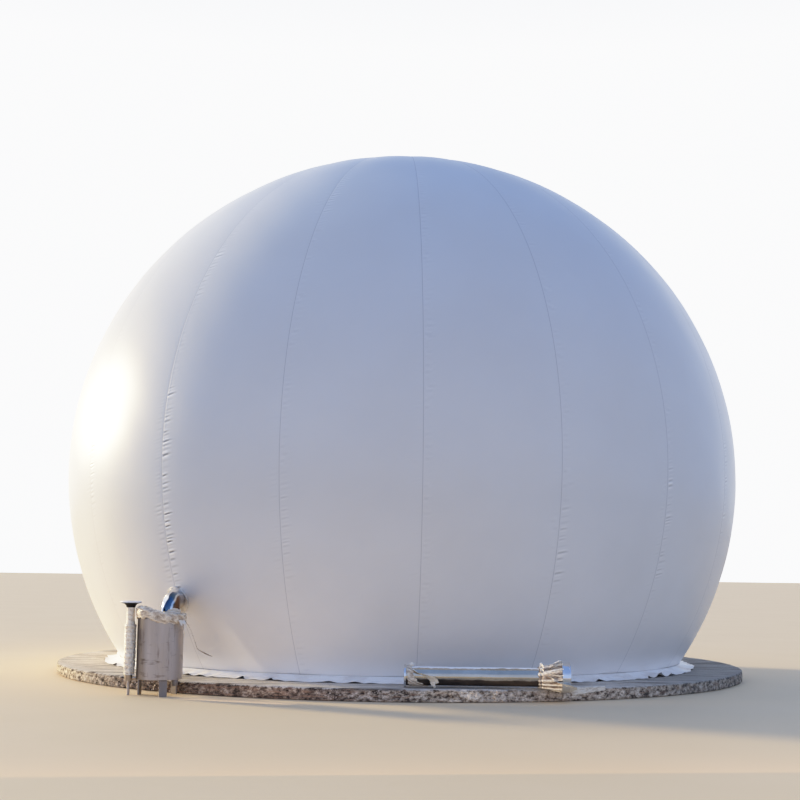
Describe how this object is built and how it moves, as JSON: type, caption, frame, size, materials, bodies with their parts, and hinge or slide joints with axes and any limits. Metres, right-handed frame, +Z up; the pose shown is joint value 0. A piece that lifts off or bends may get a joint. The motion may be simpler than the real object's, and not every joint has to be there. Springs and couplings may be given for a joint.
{
  "type": "biogas holder",
  "caption": "Free-standing three-quarter-sphere membrane gas holder on a round concrete slab, with a stainless pressure protector and a flanged pipe spool",
  "frame": {"origin": "centre of the slab's underside, at ground level", "axes": "+Z up; -Y is the front, where the pressure protector and the pipe spool are; +X is to the right seen from the front"},
  "size_m": [10.07, 10.07, 7.795],
  "materials": {
    "concrete": "broomed concrete, cast edge with soil stuck to it",
    "membrane": "semi-gloss coated polyester, welded seams",
    "galvanised_steel": "dull zinc grey",
    "stainless_steel": "mill finish with weld marks",
    "polished_steel": "mirror polished",
    "packing_film": "thin crumpled milky film"
  },
  "bodies": {
    "root": {"clamp_ring": "galvanised_steel", "crown_patch": "membrane", "drain_stub": "stainless_steel", "elbow": "polished_steel", "elbow_film": "packing_film", "elbow_flange": "stainless_steel", "film_tail": "packing_film", "foundation_slab": "concrete", "gore_01": "membrane", "gore_02": "membrane", "gore_03": "membrane", "gore_04": "membrane", "gore_05": "membrane", "gore_06": "membrane", "gore_07": "membrane", "gore_08": "membrane", "gore_09": "membrane", "gore_10": "membrane", "gore_11": "membrane", "gore_12": "membrane", "gore_13": "membrane", "gore_14": "membrane", "gore_15": "membrane", "gore_16": "membrane", "gore_17": "membrane", "gore_18": "membrane", "port_flange": "stainless_steel", "pot_body": "stainless_steel", "pot_leg_1": "galvanised_steel", "pot_leg_2": "galvanised_steel", "pot_leg_3": "galvanised_steel", "pot_lid": "stainless_steel", "pot_rim_film": "packing_film", "skirt_flap": "membrane", "spool_film_left": "packing_film", "spool_film_right": "packing_film", "spool_flange_left": "polished_steel", "spool_flange_right": "polished_steel", "spool_pipe": "polished_steel", "vent_film": "packing_film", "vent_flange": "stainless_steel", "vent_leg": "stainless_steel", "vent_pipe": "stainless_steel", "vent_stub": "stainless_steel"}
  },
  "joints": []
}
